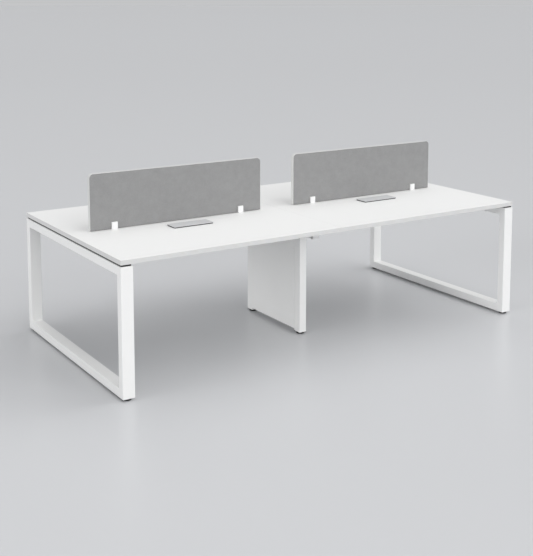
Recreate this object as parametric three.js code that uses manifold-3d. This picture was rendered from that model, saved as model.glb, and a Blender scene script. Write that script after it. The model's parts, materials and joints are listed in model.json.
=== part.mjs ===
// Benching desk with two bays side by side, each worked from both long sides.
// Millimetres, +Z up. X runs along the desk and -Y is the front.
// The origin is on the floor, below the middle of the desk.
import * as THREE from 'three';
import { mergeVertices } from 'three/addons/utils/BufferGeometryUtils.js';
import Module from 'manifold-3d';

const wasm = await Module();
wasm.setup();

// Overall sizes
const BAY_LENGTH = 1400;
const DESK_DEPTH = 1400;
const DESK_HEIGHT = 750;

// Table boards and the strip glued round their edges
const BOARD_THICKNESS = 25;
const BOARD_SEAM = 0.4;
const BAND_THICKNESS = 2;
const BAND_EDGE_RADIUS = 1.5;
const BOARD_CORNER_RADIUS = 6;

// Strips that hold the boards off the steel and leave a dark line
const SPACER_HEIGHT = 10;
const SPACER_INSET = 8;

// End frames, closed loops of rectangular tube with mitred corners
const TUBE_WIDTH = 70;
const TUBE_DEPTH = 50;
const TUBE_WALL = 2;
const TUBE_CORNER_RADIUS = 4;
const MITRE_GAP = 0.3;

// Levelling feet and the bushes that they screw into
const FOOT_PAD_RADIUS = 24;
const FOOT_PAD_HEIGHT = 10;
const FOOT_PAD_EDGE = 1.5;
const FOOT_STUD_RADIUS = 4;
const FOOT_STUD_LENGTH = 30;
const FOOT_END_INSET = 32;
const BUSH_FLANGE_RADIUS = 13;
const BUSH_FLANGE_HEIGHT = 2;
const BUSH_SHANK_RADIUS = 7;
const BUSH_LENGTH = 18;
const STUD_CLEARANCE = 0.4;
const SEAT_GAP = 0.3;

// Centre leg, two posts under a crossbar with a sheet cover on each side
const CENTRE_LEG_DEPTH = 616;
const POST_WIDTH = 50;
const POST_DEPTH = 60;
const CROSSBAR_LENGTH = 880;
const CROSSBAR_HEIGHT = 84;
const CAP_FLANGE = 2;
const CAP_EDGE_RADIUS = 0.5;
const CAP_PLUG_LENGTH = 14;
const STRETCHER_HEIGHT = 40;
const STRETCHER_WIDTH = 16;
const STRETCHER_RISE = 60;
const COVER_SHEET = 1.2;
const COVER_FLANGE = 15;
const COVER_BEND_RADIUS = 2;
const COVER_CORNER_RADIUS = 3;
const COVER_RISE = 12;

// Beams between the end frames and the crossbar, with welded end plates
const BEAM_WIDTH = 30;
const BEAM_HEIGHT = 44;
const BEAM_END_INSET = 50;
const BEAM_PLATE_THICKNESS = 4;
const BEAM_PLATE_WIDTH = 70;
const BEAM_PLATE_HOLE_RADIUS = 8;

// Cable boxes let into the boards, each with a hinged lid
const LID_LENGTH = 262;
const LID_DEPTH = 102;
const LID_THICKNESS = 2.5;
const LID_CORNER_RADIUS = 5;
const LID_EDGE_RADIUS = 0.6;
const LID_REAR_SETBACK = 97;
const LID_OVERHANG = 3;
const RIM_HEIGHT = 5.4;
const TUB_INSIDE_RIM = 4;
const TUB_WALL = 2;
const TUB_DROP = 55;
const TUB_CORNER_RADIUS = 4;
const TUB_SLOT_LENGTH = 180;
const TUB_SLOT_WIDTH = 36;
const BOARD_CUT_CLEARANCE = 0.5;
const HINGE_SETBACK = 2;
const HINGE_BAR_RADIUS = 2.3;
const HINGE_WEB = 2.4;
const HINGE_BARREL_LENGTH = 60;
const HINGE_BARREL_PLAY = 0.5;
const HINGE_PIN_RADIUS = 1.1;
const HINGE_PIN_LENGTH = 5;
const HINGE_PIN_CLEARANCE = 0.4;

// Fabric screens on the centre line and the saddle clips that hold them
const SCREEN_LENGTH = 1150;
const SCREEN_HEIGHT = 330;
const SCREEN_THICKNESS = 25;
const SCREEN_CORNER_RADIUS = 18;
const SCREEN_EDGE_RADIUS = 3;
const CLIP_WIDTH = 36;
const CLIP_HEIGHT = 42;
const CLIP_JAW = 10;
const CLIP_BASE = 3;
const CLIP_EDGE_RADIUS = 2;
const CLIP_END_INSET = 150;
const CLIP_GRIP_GAP = 0.3;

// Facets on round shapes
const CORNER_FACETS = 1;
const SCREEN_CORNER_FACETS = 4;
const ROUND_FACETS = 20;
const SMALL_ROUND_FACETS = 12;

// Levels and places that follow from the sizes above
const BOARD_UNDERSIDE = DESK_HEIGHT - BOARD_THICKNESS;
const FRAME_TOP = BOARD_UNDERSIDE - SPACER_HEIGHT;
const FRAME_BOTTOM = FOOT_PAD_HEIGHT + BUSH_FLANGE_HEIGHT;
const FRAME_HEIGHT = FRAME_TOP - FRAME_BOTTOM;
const FRAME_CENTRE_Z = (FRAME_TOP + FRAME_BOTTOM) / 2;
const FRAME_CENTRE_X = BAY_LENGTH - TUBE_WIDTH / 2;
const FRAME_INNER_X = BAY_LENGTH - TUBE_WIDTH;
const CROSSBAR_BOTTOM = FRAME_TOP - CROSSBAR_HEIGHT;
const POST_HEIGHT = CROSSBAR_BOTTOM - FRAME_BOTTOM - SEAT_GAP;
const POST_CENTRE_Y = (CENTRE_LEG_DEPTH - POST_DEPTH) / 2;
const POST_INNER_Y = CENTRE_LEG_DEPTH / 2 - POST_DEPTH;
const END_FOOT_Y = DESK_DEPTH / 2 - FOOT_END_INSET;
const RIM_LENGTH = LID_LENGTH - 2 * LID_OVERHANG;
const RIM_DEPTH = LID_DEPTH - 2 * LID_OVERHANG;
const TUB_LENGTH = RIM_LENGTH - 2 * TUB_INSIDE_RIM;
const TUB_DEPTH = RIM_DEPTH - 2 * TUB_INSIDE_RIM;
const LID_CENTRE_Y = LID_REAR_SETBACK + LID_DEPTH / 2;
const HINGE_Y = LID_DEPTH / 2 - HINGE_SETBACK;
const HINGE_Z = RIM_HEIGHT / 2;
const SCREEN_BOTTOM = DESK_HEIGHT + CLIP_BASE;

const SIDES = [['left', -1], ['right', 1]];
const ENDS = [['front', -1], ['rear', 1]];

// Finishes
const FINISH = {
  board: { color: 0xf0f0ef, roughness: 0.5, metalness: 0 },
  band: { color: 0xe6e6e5, roughness: 0.45, metalness: 0 },
  steel: { color: 0xf1f1f0, roughness: 0.4, metalness: 0 },
  black: { color: 0x161616, roughness: 0.6, metalness: 0 },
  cap: { color: 0xe4e4e4, roughness: 0.55, metalness: 0 },
  bush: { color: 0x8d9093, roughness: 0.4, metalness: 1 },
  tub: { color: 0x2a2b2c, roughness: 0.6, metalness: 0 },
  lid: { color: 0xd4d5d6, roughness: 0.4, metalness: 0 },
  fabric: { color: 0x9b9b9b, roughness: 0.95, metalness: 0 },
  clip: { color: 0xf2f2f2, roughness: 0.4, metalness: 0 },
};

// Shape helpers

// Adds a rectangle with rounded corners, centred on the origin, to a shape or path.
function traceRectangle(path, width, height, radius) {
  const right = width / 2;
  const top = height / 2;
  path.moveTo(right, -top + radius);
  path.lineTo(right, top - radius);
  path.absarc(right - radius, top - radius, radius, 0, Math.PI / 2);
  path.lineTo(-right + radius, top);
  path.absarc(-right + radius, top - radius, radius, Math.PI / 2, Math.PI);
  path.lineTo(-right, -top + radius);
  path.absarc(-right + radius, -top + radius, radius, Math.PI, Math.PI * 1.5);
  path.lineTo(right - radius, -top);
  path.absarc(right - radius, -top + radius, radius, Math.PI * 1.5, Math.PI * 2);
  return path;
}

function rectangle(width, height, radius) {
  return traceRectangle(new THREE.Shape(), width, height, radius);
}

// Section of a rectangular tube with rounded outer corners.
function tubeSection(width, height) {
  const shape = rectangle(width, height, TUBE_CORNER_RADIUS);
  const inner = TUBE_CORNER_RADIUS - TUBE_WALL;
  const hole = traceRectangle(new THREE.Path(), width - 2 * TUBE_WALL, height - 2 * TUBE_WALL, inner);
  shape.holes.push(hole);
  return shape;
}

// Straight extrusion of a shape along Z, centred on the origin.
function extrude(shape, length) {
  const settings = { depth: length, bevelEnabled: false, curveSegments: CORNER_FACETS };
  return new THREE.ExtrudeGeometry(shape, settings).translate(0, 0, -length / 2);
}

// Extrusion along Z whose long edges are rounded, with its full size kept.
function extrudeSoft(shape, length, radius, facets = CORNER_FACETS) {
  const settings = {
    depth: length - 2 * radius,
    bevelEnabled: true,
    bevelThickness: radius,
    bevelSize: radius,
    bevelOffset: -radius,
    bevelSegments: 2,
    curveSegments: facets,
  };
  return new THREE.ExtrudeGeometry(shape, settings).translate(0, 0, radius - length / 2);
}

function block(width, depth, height) {
  return new THREE.BoxGeometry(width, depth, height);
}

// Cylinder along the given axis, centred on the origin.
function rod(radius, length, axis, facets) {
  const geometry = new THREE.CylinderGeometry(radius, radius, length, facets);
  if (axis === 'x') geometry.rotateZ(Math.PI / 2);
  if (axis === 'z') geometry.rotateX(Math.PI / 2);
  return geometry;
}

// Turned piece: the profile is given as radius and height, and revolves about Z.
function turn(profile, facets) {
  const points = profile.map(([radius, height]) => new THREE.Vector2(radius, height));
  return new THREE.LatheGeometry(points, facets).rotateX(Math.PI / 2);
}

// Turns an extrusion so that it runs along X, with its section's height upright.
function alongX(geometry) {
  return geometry.rotateX(Math.PI / 2).rotateZ(Math.PI / 2);
}

// Turns an extrusion so that it runs along Y, with its section's height upright.
function alongY(geometry) {
  return geometry.rotateX(Math.PI / 2);
}

// Boolean helpers
function toSolid(geometry) {
  const bare = geometry.clone();
  bare.deleteAttribute('normal');
  bare.deleteAttribute('uv');
  const merged = mergeVertices(bare);
  return new wasm.Manifold(new wasm.Mesh({
    numProp: 3,
    vertProperties: new Float32Array(merged.attributes.position.array),
    triVerts: new Uint32Array(merged.index.array),
  }));
}

function fromSolid(solid) {
  const mesh = solid.getMesh();
  const geometry = new THREE.BufferGeometry();
  geometry.setAttribute('position', new THREE.BufferAttribute(mesh.vertProperties, mesh.numProp));
  geometry.setIndex(new THREE.BufferAttribute(mesh.triVerts, 1));
  return geometry;
}

function join(first, ...others) {
  return fromSolid(others.reduce((sum, other) => sum.add(toSolid(other)), toSolid(first)));
}

function cut(body, ...tools) {
  return fromSolid(tools.reduce((rest, tool) => rest.subtract(toSolid(tool)), toSolid(body)));
}

// A named piece with a material of its own
function piece(name, geometry, finish, x = 0, y = 0, z = 0) {
  const mesh = new THREE.Mesh(geometry, new THREE.MeshStandardMaterial(FINISH[finish]));
  mesh.name = name;
  mesh.position.set(x, y, z);
  return mesh;
}

// Table boards

function tableTop(side, sign) {
  const length = BAY_LENGTH - BOARD_SEAM / 2;
  const centreX = sign * (BAY_LENGTH + BOARD_SEAM / 2) / 2;
  const centreZ = DESK_HEIGHT - BOARD_THICKNESS / 2;
  const coreLength = length - 2 * BAND_THICKNESS;
  const coreDepth = DESK_DEPTH - 2 * BAND_THICKNESS;
  const boxX = sign * BAY_LENGTH / 2 - centreX;
  const cutLength = TUB_LENGTH + 2 * BOARD_CUT_CLEARANCE;
  const cutDepth = TUB_DEPTH + 2 * BOARD_CUT_CLEARANCE;
  const cutRadius = TUB_CORNER_RADIUS + BOARD_CUT_CLEARANCE;
  const openings = ENDS.map(([, end]) => (
    extrude(rectangle(cutLength, cutDepth, cutRadius), 2 * BOARD_THICKNESS)
      .translate(boxX, end * LID_CENTRE_Y, 0)
  ));
  const coreShape = rectangle(coreLength, coreDepth, BOARD_CORNER_RADIUS - BAND_THICKNESS);
  const core = cut(extrude(coreShape, BOARD_THICKNESS), ...openings);
  const outline = rectangle(length, DESK_DEPTH, BOARD_CORNER_RADIUS);
  const slab = extrudeSoft(outline, BOARD_THICKNESS, BAND_EDGE_RADIUS);
  const band = cut(slab, extrude(coreShape, 2 * BOARD_THICKNESS));
  const group = new THREE.Group();
  group.position.set(centreX, 0, centreZ);
  group.add(piece(`top_board_${side}`, core, 'board'));
  group.add(piece(`edge_band_${side}`, band, 'band'));
  return group;
}

// End frames

// Tube along Z whose ends are cut at 45 degrees, longest on its +Y face.
function mitredTube(length) {
  const tube = extrude(tubeSection(TUBE_WIDTH, TUBE_DEPTH), length);
  const place = tube.attributes.position;
  const setback = TUBE_DEPTH / 2 + MITRE_GAP * Math.SQRT1_2;
  for (let i = 0; i < place.count; i += 1) {
    const end = Math.sign(place.getZ(i));
    place.setZ(i, end * (length / 2 - setback + place.getY(i)));
  }
  return tube;
}

function footHoles() {
  return ENDS.map(([, sign]) => (
    rod(BUSH_SHANK_RADIUS + SEAT_GAP, 4 * TUBE_WALL, 'z', ROUND_FACETS)
      .translate(0, sign * END_FOOT_Y, -TUBE_DEPTH / 2)
  ));
}

function endFrame(side, sign) {
  const railOffset = (FRAME_HEIGHT - TUBE_DEPTH) / 2;
  const postOffset = (DESK_DEPTH - TUBE_DEPTH) / 2;
  const topRail = mitredTube(DESK_DEPTH).rotateX(Math.PI / 2);
  const bottomRail = cut(mitredTube(DESK_DEPTH).rotateX(-Math.PI / 2), ...footHoles());
  const rearPost = mitredTube(FRAME_HEIGHT);
  const frontPost = mitredTube(FRAME_HEIGHT).rotateX(Math.PI);
  const group = new THREE.Group();
  group.position.set(sign * FRAME_CENTRE_X, 0, FRAME_CENTRE_Z);
  group.add(piece(`${side}_frame_top_rail`, topRail, 'steel', 0, 0, railOffset));
  group.add(piece(`${side}_frame_bottom_rail`, bottomRail, 'steel', 0, 0, -railOffset));
  group.add(piece(`${side}_frame_rear_post`, rearPost, 'steel', 0, postOffset, 0));
  group.add(piece(`${side}_frame_front_post`, frontPost, 'steel', 0, -postOffset, 0));
  return group;
}

// Spacer strips on the end frames and on the crossbar
function spacerStrips() {
  const group = new THREE.Group();
  group.position.z = FRAME_TOP + SPACER_HEIGHT / 2;
  const strip = (width, length) => (
    block(width - 2 * SPACER_INSET, length - 2 * SPACER_INSET, SPACER_HEIGHT)
  );
  for (const [side, sign] of SIDES) {
    const endStrip = strip(TUBE_WIDTH, DESK_DEPTH);
    group.add(piece(`${side}_spacer_strip`, endStrip, 'black', sign * FRAME_CENTRE_X));
  }
  group.add(piece('centre_spacer_strip', strip(POST_WIDTH, CROSSBAR_LENGTH), 'black'));
  return group;
}

// Centre leg
function crossbarCap(name, sign) {
  const outline = rectangle(POST_WIDTH, CROSSBAR_HEIGHT, TUBE_CORNER_RADIUS);
  const flange = extrudeSoft(outline, CAP_FLANGE, CAP_EDGE_RADIUS);
  const inset = 2 * (TUBE_WALL + SEAT_GAP);
  const plugShape = rectangle(POST_WIDTH - inset, CROSSBAR_HEIGHT - inset, TUBE_WALL);
  const plug = extrude(plugShape, CAP_PLUG_LENGTH);
  plug.translate(0, 0, sign * CAP_PLUG_LENGTH / 2);
  const cap = alongY(join(flange, plug));
  const y = sign * (CROSSBAR_LENGTH / 2 + SEAT_GAP + CAP_FLANGE / 2);
  return piece(name, cap, 'cap', 0, y, CROSSBAR_BOTTOM + CROSSBAR_HEIGHT / 2);
}

// Sheet cover with its rim bent inwards, open towards the desk's middle plane.
function centreCover(side, sign) {
  const width = 2 * (POST_INNER_Y - SEAT_GAP);
  const bottom = FRAME_BOTTOM + COVER_RISE;
  const height = CROSSBAR_BOTTOM - SEAT_GAP - bottom;
  const outline = rectangle(height, width, COVER_CORNER_RADIUS);
  const face = extrudeSoft(outline, 2 * COVER_FLANGE, COVER_BEND_RADIUS);
  const hollow = block(height - 2 * COVER_SHEET, width - 2 * COVER_SHEET, 2 * COVER_FLANGE);
  hollow.translate(0, 0, -COVER_SHEET);
  const backHalf = block(2 * height, 2 * width, 2 * COVER_FLANGE).translate(0, 0, -COVER_FLANGE);
  const cover = cut(face, hollow, backHalf).rotateY(sign * Math.PI / 2);
  const x = sign * (POST_WIDTH / 2 - COVER_FLANGE);
  return piece(`centre_cover_${side}`, cover, 'steel', x, 0, bottom + height / 2);
}

function centreLeg() {
  const group = new THREE.Group();
  const postZ = FRAME_BOTTOM + POST_HEIGHT / 2;
  for (const [end, sign] of ENDS) {
    const post = extrude(tubeSection(POST_WIDTH, POST_DEPTH), POST_HEIGHT);
    group.add(piece(`centre_${end}_post`, post, 'steel', 0, sign * POST_CENTRE_Y, postZ));
    group.add(crossbarCap(`crossbar_cap_${end}`, sign));
  }
  for (const [side, sign] of SIDES) {
    group.add(centreCover(side, sign));
  }
  const crossbarZ = CROSSBAR_BOTTOM + CROSSBAR_HEIGHT / 2;
  const crossbar = alongY(extrude(tubeSection(POST_WIDTH, CROSSBAR_HEIGHT), CROSSBAR_LENGTH));
  group.add(piece('centre_crossbar', crossbar, 'steel', 0, 0, crossbarZ));
  const stretcherLength = 2 * (POST_INNER_Y - SEAT_GAP);
  const stretcher = alongY(extrude(tubeSection(STRETCHER_WIDTH, STRETCHER_HEIGHT), stretcherLength));
  group.add(piece('centre_stretcher', stretcher, 'steel', 0, 0, FRAME_BOTTOM + STRETCHER_RISE));
  return group;
}

// Levelling feet

// Flanged bush for a stud, standing on its flange at z = 0.
function roundBush() {
  const bore = FOOT_STUD_RADIUS + STUD_CLEARANCE;
  return turn([
    [bore, 0],
    [BUSH_FLANGE_RADIUS, 0],
    [BUSH_FLANGE_RADIUS, BUSH_FLANGE_HEIGHT],
    [BUSH_SHANK_RADIUS, BUSH_FLANGE_HEIGHT],
    [BUSH_SHANK_RADIUS, BUSH_LENGTH],
    [bore, BUSH_LENGTH],
    [bore, 0],
  ], ROUND_FACETS);
}

// Plug for the open end of a post, with the same flange height and bore as the round bush.
function postPlug() {
  const inset = 2 * (TUBE_WALL + SEAT_GAP);
  const flange = extrude(rectangle(POST_WIDTH, POST_DEPTH, TUBE_CORNER_RADIUS), BUSH_FLANGE_HEIGHT);
  flange.translate(0, 0, BUSH_FLANGE_HEIGHT / 2);
  const plug = extrude(rectangle(POST_WIDTH - inset, POST_DEPTH - inset, TUBE_WALL), BUSH_LENGTH);
  plug.translate(0, 0, BUSH_LENGTH / 2);
  const bore = rod(FOOT_STUD_RADIUS + STUD_CLEARANCE, 4 * BUSH_LENGTH, 'z', ROUND_FACETS);
  return cut(join(flange, plug), bore);
}

// Moulded pad with a stud standing up from it.
function levellingFoot() {
  const top = FOOT_PAD_HEIGHT - SEAT_GAP;
  const studTop = top + FOOT_STUD_LENGTH;
  return turn([
    [0, 0],
    [FOOT_PAD_RADIUS - FOOT_PAD_EDGE, 0],
    [FOOT_PAD_RADIUS, FOOT_PAD_EDGE],
    [FOOT_PAD_RADIUS, top - FOOT_PAD_EDGE],
    [FOOT_PAD_RADIUS - FOOT_PAD_EDGE, top],
    [FOOT_STUD_RADIUS, top],
    [FOOT_STUD_RADIUS, studTop],
    [0, studTop],
  ], ROUND_FACETS);
}

function feet() {
  const group = new THREE.Group();
  for (const [end, sign] of ENDS) {
    for (const [side, sideSign] of SIDES) {
      const x = sideSign * FRAME_CENTRE_X;
      const y = sign * END_FOOT_Y;
      group.add(piece(`foot_bush_${side}_${end}`, roundBush(), 'bush', x, y, FOOT_PAD_HEIGHT));
      group.add(piece(`foot_${side}_${end}`, levellingFoot(), 'black', x, y));
    }
    const y = sign * POST_CENTRE_Y;
    group.add(piece(`foot_plug_centre_${end}`, postPlug(), 'black', 0, y, FOOT_PAD_HEIGHT));
    group.add(piece(`foot_centre_${end}`, levellingFoot(), 'black', 0, y));
  }
  return group;
}

// Beams

// Tube along X with a plate across each end; a hole in each plate opens the tube.
function beam(length) {
  const plateX = (length - BEAM_PLATE_THICKNESS) / 2;
  const tube = alongX(extrude(tubeSection(BEAM_WIDTH, BEAM_HEIGHT), length - BEAM_PLATE_THICKNESS));
  const plates = SIDES.map(([, sign]) => (
    block(BEAM_PLATE_THICKNESS, BEAM_PLATE_WIDTH, TUBE_DEPTH).translate(sign * plateX, 0, 0)
  ));
  const hole = rod(BEAM_PLATE_HOLE_RADIUS, 2 * length, 'x', ROUND_FACETS);
  return cut(join(tube, ...plates), hole);
}

function beams() {
  const group = new THREE.Group();
  const innerX = POST_WIDTH / 2 + SEAT_GAP;
  const outerX = FRAME_INNER_X - SEAT_GAP;
  const z = FRAME_TOP - TUBE_DEPTH / 2;
  for (const [side, sideSign] of SIDES) {
    for (const [end, sign] of ENDS) {
      const x = sideSign * (innerX + outerX) / 2;
      const y = sign * (CROSSBAR_LENGTH / 2 - BEAM_END_INSET);
      group.add(piece(`beam_${side}_${end}`, beam(outerX - innerX), 'steel', x, y, z));
    }
  }
  return group;
}

// Cable boxes

// Tub with a rim that lies on the board at z = 0 and a hinge bar along its +Y edge.
function cableTub() {
  const rim = extrude(rectangle(RIM_LENGTH, RIM_DEPTH, TUB_CORNER_RADIUS), RIM_HEIGHT);
  rim.translate(0, 0, RIM_HEIGHT / 2);
  const bodyHeight = TUB_DROP + RIM_HEIGHT / 2;
  const body = extrude(rectangle(TUB_LENGTH, TUB_DEPTH, TUB_CORNER_RADIUS), bodyHeight);
  body.translate(0, 0, bodyHeight / 2 - TUB_DROP);
  const insideHeight = TUB_DROP + 2 * RIM_HEIGHT;
  const insideLength = TUB_LENGTH - 2 * TUB_WALL;
  const insideDepth = TUB_DEPTH - 2 * TUB_WALL;
  const insideShape = rectangle(insideLength, insideDepth, TUB_CORNER_RADIUS - TUB_WALL);
  const inside = extrude(insideShape, insideHeight);
  inside.translate(0, 0, insideHeight / 2 - TUB_DROP + TUB_WALL);
  const slot = extrude(rectangle(TUB_SLOT_LENGTH, TUB_SLOT_WIDTH, TUB_SLOT_WIDTH / 2), 4 * TUB_WALL);
  slot.translate(0, 0, -TUB_DROP);
  const behindHinge = block(2 * LID_LENGTH, LID_DEPTH, 2 * RIM_HEIGHT);
  behindHinge.translate(0, HINGE_Y - HINGE_BAR_RADIUS / 2 + LID_DEPTH / 2, RIM_HEIGHT);
  const shell = cut(join(rim, body), inside, slot, behindHinge);
  const barLength = RIM_LENGTH - 2 * TUB_CORNER_RADIUS;
  const barTop = rod(HINGE_BAR_RADIUS, barLength, 'x', SMALL_ROUND_FACETS).translate(0, HINGE_Y, HINGE_Z);
  const barFoot = block(barLength, 2 * HINGE_BAR_RADIUS, HINGE_Z).translate(0, HINGE_Y, HINGE_Z / 2);
  const notchLength = HINGE_BARREL_LENGTH + 2 * HINGE_BARREL_PLAY;
  const notchDepth = 2 * (HINGE_BAR_RADIUS + HINGE_BARREL_PLAY);
  const notch = block(notchLength, notchDepth, 4 * RIM_HEIGHT).translate(0, HINGE_Y, 2 * RIM_HEIGHT);
  const pinHoleLength = notchLength + 2 * (HINGE_PIN_LENGTH + HINGE_PIN_CLEARANCE);
  const pinHole = rod(HINGE_PIN_RADIUS + HINGE_PIN_CLEARANCE, pinHoleLength, 'x', SMALL_ROUND_FACETS);
  pinHole.translate(0, HINGE_Y, HINGE_Z);
  return cut(join(shell, barTop, barFoot), notch, pinHole);
}

// Lid over the tub's rim, with a barrel and two pins under its +Y edge.
function cableLid() {
  const underside = RIM_HEIGHT + SEAT_GAP;
  const outline = rectangle(LID_LENGTH, LID_DEPTH, LID_CORNER_RADIUS);
  const plate = extrudeSoft(outline, LID_THICKNESS, LID_EDGE_RADIUS);
  plate.translate(0, 0, underside + LID_THICKNESS / 2);
  const barrel = rod(HINGE_BAR_RADIUS, HINGE_BARREL_LENGTH, 'x', SMALL_ROUND_FACETS);
  barrel.translate(0, HINGE_Y, HINGE_Z);
  const webHeight = underside + LID_THICKNESS / 2 - HINGE_Z;
  const web = block(HINGE_BARREL_LENGTH, HINGE_WEB, webHeight);
  web.translate(0, HINGE_Y, HINGE_Z + webHeight / 2);
  const pinLength = HINGE_BARREL_LENGTH + 2 * HINGE_PIN_LENGTH;
  const pin = rod(HINGE_PIN_RADIUS, pinLength, 'x', SMALL_ROUND_FACETS).translate(0, HINGE_Y, HINGE_Z);
  return join(plate, web, barrel, pin);
}

// Each box turns its hinge towards the screens.
function cableBoxes() {
  const group = new THREE.Group();
  for (const [side, sideSign] of SIDES) {
    for (const [end, sign] of ENDS) {
      const box = new THREE.Group();
      box.position.set(sideSign * BAY_LENGTH / 2, sign * LID_CENTRE_Y, DESK_HEIGHT);
      box.rotation.z = end === 'rear' ? Math.PI : 0;
      box.add(piece(`cable_tub_${side}_${end}`, cableTub(), 'tub'));
      box.add(piece(`cable_lid_${side}_${end}`, cableLid(), 'lid'));
      group.add(box);
    }
  }
  return group;
}

// Screens

// Upright board with its two top corners rounded.
function screenBoard() {
  const right = SCREEN_LENGTH / 2;
  const radius = SCREEN_CORNER_RADIUS;
  const outline = new THREE.Shape();
  outline.moveTo(-right, 0);
  outline.lineTo(right, 0);
  outline.lineTo(right, SCREEN_HEIGHT - radius);
  outline.absarc(right - radius, SCREEN_HEIGHT - radius, radius, 0, Math.PI / 2);
  outline.lineTo(radius - right, SCREEN_HEIGHT);
  outline.absarc(radius - right, SCREEN_HEIGHT - radius, radius, Math.PI / 2, Math.PI);
  outline.closePath();
  return alongY(extrudeSoft(outline, SCREEN_THICKNESS, SCREEN_EDGE_RADIUS, SCREEN_CORNER_FACETS));
}

// Saddle that stands on the board and grips the screen's lower edge.
function screenClip() {
  const inner = SCREEN_THICKNESS / 2 + CLIP_GRIP_GAP;
  const outer = inner + CLIP_JAW;
  const radius = CLIP_EDGE_RADIUS;
  const section = new THREE.Shape();
  section.moveTo(-outer, 0);
  section.lineTo(outer, 0);
  section.lineTo(outer, CLIP_HEIGHT - radius);
  section.absarc(outer - radius, CLIP_HEIGHT - radius, radius, 0, Math.PI / 2);
  section.lineTo(inner, CLIP_HEIGHT);
  section.lineTo(inner, CLIP_BASE);
  section.lineTo(-inner, CLIP_BASE);
  section.lineTo(-inner, CLIP_HEIGHT);
  section.lineTo(radius - outer, CLIP_HEIGHT);
  section.absarc(radius - outer, CLIP_HEIGHT - radius, radius, Math.PI / 2, Math.PI);
  section.closePath();
  return alongX(extrude(section, CLIP_WIDTH));
}

function screens() {
  const group = new THREE.Group();
  const clipOffset = SCREEN_LENGTH / 2 - CLIP_END_INSET;
  for (const [side, sideSign] of SIDES) {
    const x = sideSign * BAY_LENGTH / 2;
    group.add(piece(`screen_${side}`, screenBoard(), 'fabric', x, 0, SCREEN_BOTTOM));
    for (const [place, sign] of [['inner', -1], ['outer', 1]]) {
      const clipX = x + sideSign * sign * clipOffset;
      group.add(piece(`screen_clip_${side}_${place}`, screenClip(), 'clip', clipX, 0, DESK_HEIGHT));
    }
  }
  return group;
}

const desk = new THREE.Group();
for (const [side, sign] of SIDES) {
  desk.add(tableTop(side, sign));
  desk.add(endFrame(side, sign));
}
desk.add(spacerStrips(), centreLeg(), feet(), beams(), cableBoxes(), screens());
export default desk;
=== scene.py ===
"""Dressed model of a face-to-face benching desk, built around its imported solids."""

import json
import logging
import math
from abc import ABC, abstractmethod
from collections.abc import Callable, Iterable
from dataclasses import dataclass
from enum import Enum, StrEnum
from typing import Any

import bmesh
import bpy
from mathutils import Matrix, Vector


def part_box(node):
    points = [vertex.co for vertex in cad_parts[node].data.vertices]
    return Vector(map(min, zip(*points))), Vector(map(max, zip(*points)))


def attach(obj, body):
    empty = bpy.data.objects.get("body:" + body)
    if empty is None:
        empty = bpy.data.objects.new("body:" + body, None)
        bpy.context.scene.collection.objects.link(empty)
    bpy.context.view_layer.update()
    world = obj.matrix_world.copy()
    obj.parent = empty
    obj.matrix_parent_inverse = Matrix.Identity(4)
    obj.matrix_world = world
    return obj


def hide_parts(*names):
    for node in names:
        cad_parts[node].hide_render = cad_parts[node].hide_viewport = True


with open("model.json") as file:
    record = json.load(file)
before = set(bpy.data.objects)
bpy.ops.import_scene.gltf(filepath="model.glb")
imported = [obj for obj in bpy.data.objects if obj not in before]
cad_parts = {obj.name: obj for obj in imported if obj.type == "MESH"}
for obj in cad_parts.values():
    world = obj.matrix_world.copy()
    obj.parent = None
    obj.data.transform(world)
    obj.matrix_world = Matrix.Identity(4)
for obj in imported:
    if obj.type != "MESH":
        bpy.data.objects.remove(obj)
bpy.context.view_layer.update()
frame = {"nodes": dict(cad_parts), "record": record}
LOG = logging.getLogger("benching_desk")

MM = 0.001
DESK_BODY = "desk"
FRAME_TUBES = ("top_rail", "bottom_rail", "front_post", "rear_post")

# Least part of a unit normal or edge along an axis that counts as lying along it
FLAT = 0.9
# Largest angle between two faces that are shaded as one curve
SMOOTH_LIMIT = math.radians(40)
# How far a point may lie from the place where it is looked for
TOLERANCE = 1 * MM
MERGE_DISTANCE = 0.01 * MM

# Facets across a small rounding and across a tube's corner, and sides of a small round rod
EDGE_SEGMENTS = 3
TUBE_SEGMENTS = 4
ROD_FACETS = 24

# Places of the Mix node's colour sockets, which share their names with its other sockets
COLOUR_A = 6
COLOUR_B = 7
COLOUR_RESULT = 2
# Width of one band of the Wave Texture at a scale of 1, in metres
WAVE_BAND_WIDTH = 0.314

Colour = tuple[float, float, float, float]
Profile = list[tuple[float, float]]
EdgeTest = Callable[[bmesh.types.BMEdge], bool]


class Axis(Enum):
    """The frame's axes: X along the desk, Y across it and Z up."""

    X = 0
    Y = 1
    Z = 2

    @property
    def unit(self) -> Vector:
        """The axis as a vector of length one."""
        return Vector([1.0 if axis is self else 0.0 for axis in Axis])


class Side(StrEnum):
    """The desk's two bays, by the words in the names of their nodes."""

    LEFT = "left"
    RIGHT = "right"

    @property
    def outward(self) -> int:
        """The sign of X in this bay."""
        return -1 if self is Side.LEFT else 1


class End(StrEnum):
    """The two long edges of the desk, by the words in the names of their nodes."""

    FRONT = "front"
    REAR = "rear"


class ClipPlace(StrEnum):
    """Where a clip grips its screen: near the desk's middle or near its end."""

    INNER = "inner"
    OUTER = "outer"


# Materials

def linear_colour(hex_code: str) -> Colour:
    """Turns an sRGB hex colour to linear red, green, blue and alpha, by the standard's own curve.

    Args:
        hex_code: Six hex digits with a leading hash sign.

    Returns:
        The linear colour, fully opaque.
    """
    shares = [int(hex_code[place:place + 2], 16) / 255 for place in (1, 3, 5)]
    red, green, blue = (s / 12.92 if s <= 0.04045 else ((s + 0.055) / 1.055) ** 2.4 for s in shares)
    return red, green, blue, 1.0


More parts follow.
